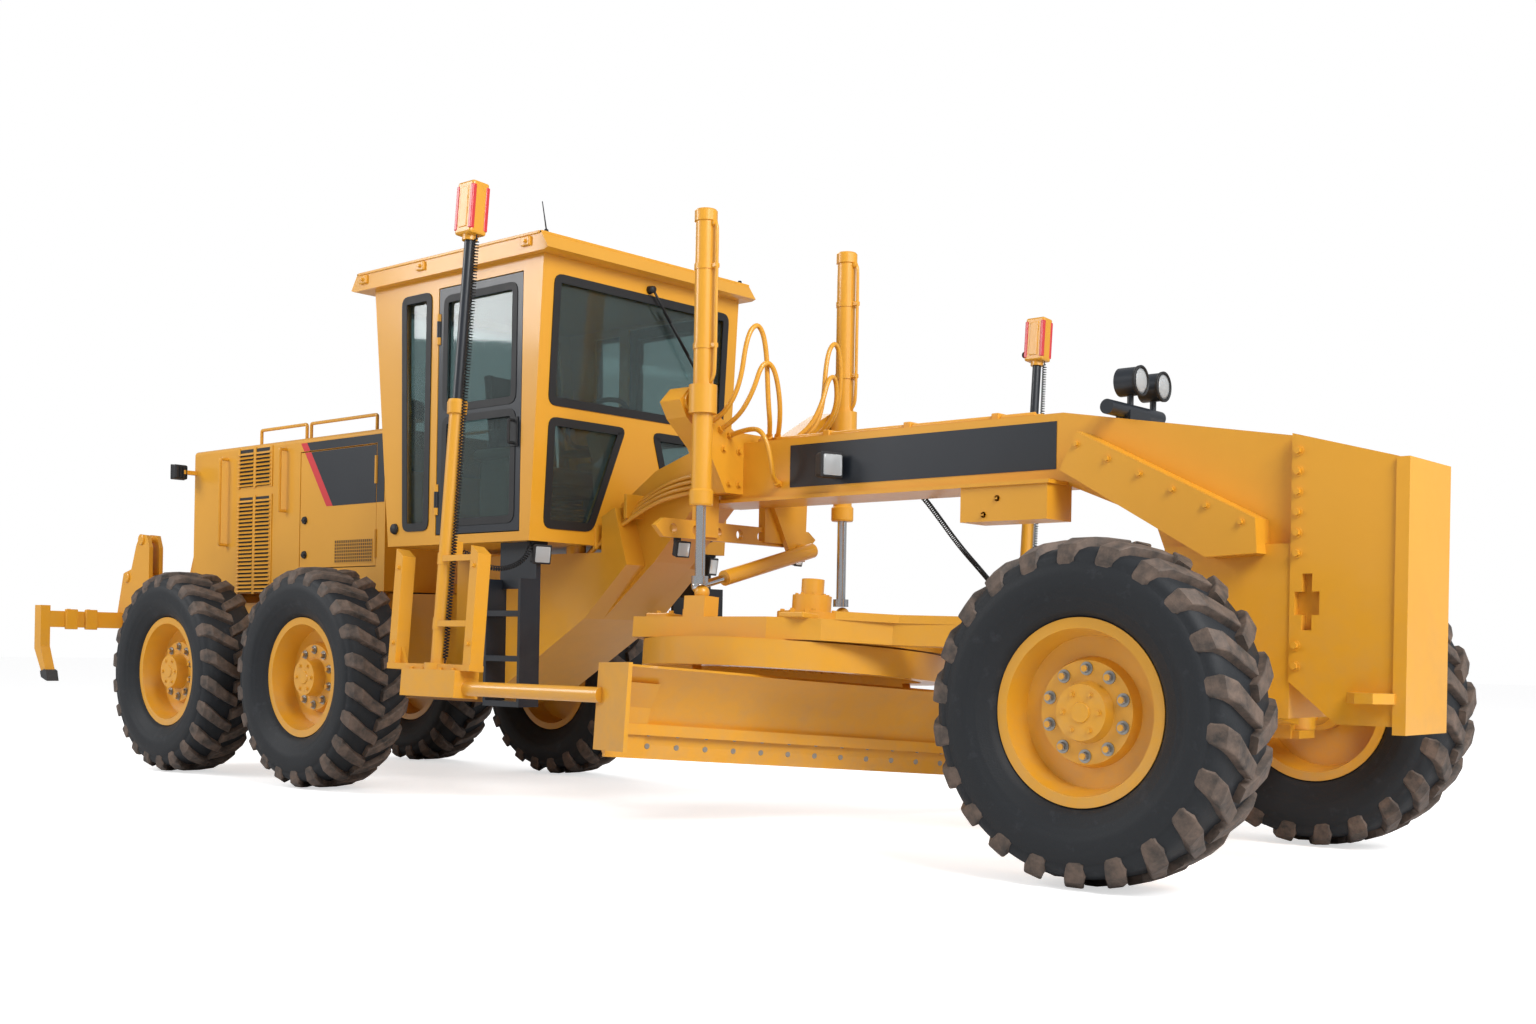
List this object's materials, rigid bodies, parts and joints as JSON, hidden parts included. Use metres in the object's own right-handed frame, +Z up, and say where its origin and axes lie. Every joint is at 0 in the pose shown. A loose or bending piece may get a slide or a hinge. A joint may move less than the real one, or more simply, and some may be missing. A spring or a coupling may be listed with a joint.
{
  "type": "motor grader",
  "caption": "Articulated motor grader with cab, tandem drive, turning circle, moldboard with levelling masts and rear ripper.",
  "frame": {"origin": "centre of the front push plate's face, on the machine's centre plane, 1.090 m above the ground", "axes": "+X forward, +Y to the machine's left, +Z up"},
  "size_m": [9.79, 3.8821, 3.2151],
  "materials": {
    "yellow_paint": "gloss industrial enamel",
    "tyre_rubber": "matte rubber",
    "black_paint": "satin enamel",
    "chrome_rod": "hard chrome",
    "cab_window": "tinted glass",
    "cord_rubber": "moulded",
    "seat_trim": "woven",
    "cast_block": "painted"
  },
  "bodies": {
    "front_frame": {"front_frame": "yellow_paint", "push_block": "yellow_paint", "lift_yoke": "yellow_paint", "front_lamps": "black_paint", "hydraulic_lines": "yellow_paint", "cab_shell": "yellow_paint", "cab_glass": "cab_window", "operator_station": "seat_trim", "cab_ladders": "black_paint", "front_axle": "yellow_paint", "bridge_cord_left": "cord_rubber", "bridge_cord_right": "cord_rubber"},
    "rear_frame": {"rear_frame": "yellow_paint", "tandem_cases": "yellow_paint", "hood": "yellow_paint", "engine_block": "cast_block"},
    "tie_rod": {"tie_rod": "yellow_paint"},
    "drawbar_ball": {"drawbar_ball": "chrome_rod"},
    "drawbar": {"drawbar": "yellow_paint"},
    "circle": {"circle": "yellow_paint"},
    "blade_bracket": {"blade_bracket": "yellow_paint"},
    "moldboard": {"moldboard": "yellow_paint", "mast_barrels": "yellow_paint", "mast_cord_left": "cord_rubber", "mast_cord_right": "cord_rubber"},
    "shift_cylinder": {"shift_cylinder": "yellow_paint"},
    "shift_rod": {"shift_rod": "chrome_rod"},
    "ripper_links": {"ripper_links": "yellow_paint"},
    "ripper_top_links": {"ripper_top_links": "yellow_paint"},
    "ripper_beam": {"ripper_beam": "yellow_paint"},
    "steer_knuckle_left": {"steer_knuckle_left": "yellow_paint"},
    "door_left": {"door_left": "black_paint", "door_glass_left": "cab_window"},
    "lift_cylinder_left": {"lift_cylinder_left": "yellow_paint"},
    "lift_rod_left": {"lift_rod_left": "chrome_rod"},
    "mast_pole_left": {"mast_pole_left": "yellow_paint"},
    "side_door_left": {"side_door_left": "yellow_paint"},
    "wheel_front_left": {"tyre_front_left": "tyre_rubber", "rim_front_left": "yellow_paint"},
    "wheel_middle_left": {"tyre_middle_left": "tyre_rubber", "rim_middle_left": "yellow_paint"},
    "wheel_rear_left": {"tyre_rear_left": "tyre_rubber", "rim_rear_left": "yellow_paint"},
    "steer_knuckle_right": {"steer_knuckle_right": "yellow_paint"},
    "door_right": {"door_right": "black_paint", "door_glass_right": "cab_window"},
    "lift_cylinder_right": {"lift_cylinder_right": "yellow_paint"},
    "lift_rod_right": {"lift_rod_right": "chrome_rod"},
    "mast_pole_right": {"mast_pole_right": "yellow_paint"},
    "side_door_right": {"side_door_right": "yellow_paint"},
    "wheel_front_right": {"tyre_front_right": "tyre_rubber", "rim_front_right": "yellow_paint"},
    "wheel_middle_right": {"tyre_middle_right": "tyre_rubber", "rim_middle_right": "yellow_paint"},
    "wheel_rear_right": {"tyre_rear_right": "tyre_rubber", "rim_rear_right": "yellow_paint"},
    "shift_collar": {"shift_collar": "yellow_paint"}
  },
  "joints": [
    {"name": "articulation", "type": "hinge", "parent": "front_frame", "child": "rear_frame", "pos_m": [-5.78, 0, -0.19], "axis": [0, 0, 1], "range_deg": [-20, 20]},
    {"name": "steer_left", "type": "hinge", "parent": "front_frame", "child": "steer_knuckle_left", "pos_m": [-0.83, 0.73, -0.45], "axis": [0, 0, 1], "range_deg": [-47.5, 47.5]},
    {"name": "roll_front_left", "type": "hinge", "parent": "steer_knuckle_left", "child": "wheel_front_left", "pos_m": [-0.83, 1.02, -0.45], "axis": [0, 1, 0], "continuous": true},
    {"name": "roll_middle_left", "type": "hinge", "parent": "rear_frame", "child": "wheel_middle_left", "pos_m": [-6.005, 0.94, -0.45], "axis": [0, 1, 0], "continuous": true},
    {"name": "roll_rear_left", "type": "hinge", "parent": "rear_frame", "child": "wheel_rear_left", "pos_m": [-7.555, 0.94, -0.45], "axis": [0, 1, 0], "continuous": true},
    {"name": "cab_door_left", "type": "hinge", "parent": "front_frame", "child": "door_left", "pos_m": [-5.194, 0.748, 0.91], "axis": [0, 0, 1], "range_deg": [0, 90]},
    {"name": "engine_door_left", "type": "hinge", "parent": "rear_frame", "child": "side_door_left", "pos_m": [-6.126, 0.498, 0.61], "axis": [0, 0, -1], "range_deg": [0, 90]},
    {"name": "steer_right", "type": "hinge", "parent": "front_frame", "child": "steer_knuckle_right", "pos_m": [-0.83, -0.73, -0.45], "axis": [0, 0, 1], "range_deg": [-47.5, 47.5]},
    {"name": "roll_front_right", "type": "hinge", "parent": "steer_knuckle_right", "child": "wheel_front_right", "pos_m": [-0.83, -1.02, -0.45], "axis": [0, 1, 0], "continuous": true},
    {"name": "roll_middle_right", "type": "hinge", "parent": "rear_frame", "child": "wheel_middle_right", "pos_m": [-6.005, -0.94, -0.45], "axis": [0, 1, 0], "continuous": true},
    {"name": "roll_rear_right", "type": "hinge", "parent": "rear_frame", "child": "wheel_rear_right", "pos_m": [-7.555, -0.94, -0.45], "axis": [0, 1, 0], "continuous": true},
    {"name": "cab_door_right", "type": "hinge", "parent": "front_frame", "child": "door_right", "pos_m": [-5.194, -0.748, 0.91], "axis": [0, 0, -1], "range_deg": [0, 90]},
    {"name": "engine_door_right", "type": "hinge", "parent": "rear_frame", "child": "side_door_right", "pos_m": [-6.126, -0.498, 0.61], "axis": [0, 0, 1], "range_deg": [0, 90]},
    {"name": "tie_rod_slide", "type": "slide", "parent": "front_frame", "child": "tie_rod", "axis": [0, 1, 0], "range_m": [-0.2, 0.2]},
    {"name": "drawbar_swing", "type": "hinge", "parent": "front_frame", "child": "drawbar_ball", "pos_m": [-1.23, 0, -0.24], "axis": [0, 0, 1], "range_deg": [-4, 12], "deforming": ["bridge_cord_left", "bridge_cord_right"]},
    {"name": "drawbar_lift", "type": "hinge", "parent": "drawbar_ball", "child": "drawbar", "pos_m": [-1.23, 0, -0.24], "axis": [0, 1, 0], "range_deg": [-25, 9.4]},
    {"name": "circle_turn", "type": "hinge", "parent": "drawbar", "child": "circle", "pos_m": [-3.18, -0.00349, -0.28988], "axis": [0, 0.0698, 0.9976], "range_deg": [-5, 18]},
    {"name": "blade_tip", "type": "hinge", "parent": "circle", "child": "blade_bracket", "pos_m": [-3.01356, -0.08568, -0.69012], "axis": [0.309, 0.9487, -0.0663], "range_deg": [-5, 40]},
    {"name": "blade_side_shift", "type": "slide", "parent": "blade_bracket", "child": "moldboard", "axis": [0.309, 0.9487, -0.0663], "range_m": [-1.17, 0]},
    {"name": "mast_left", "type": "slide", "parent": "moldboard", "child": "mast_pole_left", "axis": [0, 0.0698, 0.9976], "range_m": [-0.6, 0.25], "deforming": ["mast_cord_left"]},
    {"name": "lift_swing_left", "type": "hinge", "parent": "front_frame", "child": "lift_cylinder_left", "pos_m": [-3.33, 0.55, 0.98], "axis": [1, 0, 0], "range_deg": [-22, 8]},
    {"name": "lift_stroke_left", "type": "slide", "parent": "lift_cylinder_left", "child": "lift_rod_left", "axis": [0, 0, 1], "range_m": [-0.95, 0.36]},
    {"name": "mast_right", "type": "slide", "parent": "moldboard", "child": "mast_pole_right", "axis": [0, 0.0698, 0.9976], "range_m": [-0.6, 0.25], "deforming": ["mast_cord_right"]},
    {"name": "lift_swing_right", "type": "hinge", "parent": "front_frame", "child": "lift_cylinder_right", "pos_m": [-3.33, -0.55, 0.98], "axis": [1, 0, 0], "range_deg": [-22, 8]},
    {"name": "lift_stroke_right", "type": "slide", "parent": "lift_cylinder_right", "child": "lift_rod_right", "axis": [0, 0, 1], "range_m": [-0.95, 0.36]},
    {"name": "shift_collar_turn", "type": "hinge", "parent": "front_frame", "child": "shift_collar", "pos_m": [-3.47, 0.43, 0.29], "axis": [1, 0, 0], "range_deg": [-5.5, 2]},
    {"name": "shift_cylinder_tilt", "type": "hinge", "parent": "shift_collar", "child": "shift_cylinder", "pos_m": [-3.47, 0.43, 0.29], "axis": [1, 0, 0], "range_deg": [-27, 70]},
    {"name": "shift_stroke", "type": "slide", "parent": "shift_cylinder", "child": "shift_rod", "axis": [0, -0.9676, -0.2525], "range_m": [-0.16, 0.46]},
    {"name": "ripper_lift", "type": "hinge", "parent": "rear_frame", "child": "ripper_links", "pos_m": [-8.45, 0, -0.23], "axis": [0, 1, 0], "range_deg": [-45, 3]},
    {"name": "ripper_top", "type": "hinge", "parent": "rear_frame", "child": "ripper_top_links", "pos_m": [-8.45, 0, 0.1], "axis": [0, 1, 0], "range_deg": [-45, 3]},
    {"name": "ripper_level", "type": "hinge", "parent": "ripper_links", "child": "ripper_beam", "pos_m": [-9.63, 0, -0.11], "axis": [0, 1, 0], "range_deg": [-3, 45]}
  ],
  "couplings": [
    {"joint": "steer_right", "follows": "steer_left", "ratio": 1},
    {"joint": "tie_rod_slide", "follows": "steer_left", "m_per_rad": -0.23},
    {"joint": "lift_swing_left", "follows": "drawbar_swing", "ratio": -1.8},
    {"joint": "lift_stroke_left", "follows": "drawbar_lift", "m_per_rad": 2.1},
    {"joint": "lift_swing_right", "follows": "drawbar_swing", "ratio": -1.8},
    {"joint": "lift_stroke_right", "follows": "drawbar_lift", "m_per_rad": 2.1},
    {"joint": "shift_collar_turn", "follows": "drawbar_swing", "ratio": -0.4177},
    {"joint": "shift_cylinder_tilt", "follows": "drawbar_lift", "ratio": -2.6527},
    {"joint": "shift_stroke", "follows": "drawbar_swing", "m_per_rad": 2.1674},
    {"joint": "ripper_top", "follows": "ripper_lift", "ratio": 1},
    {"joint": "ripper_level", "follows": "ripper_lift", "ratio": -1}
  ]
}
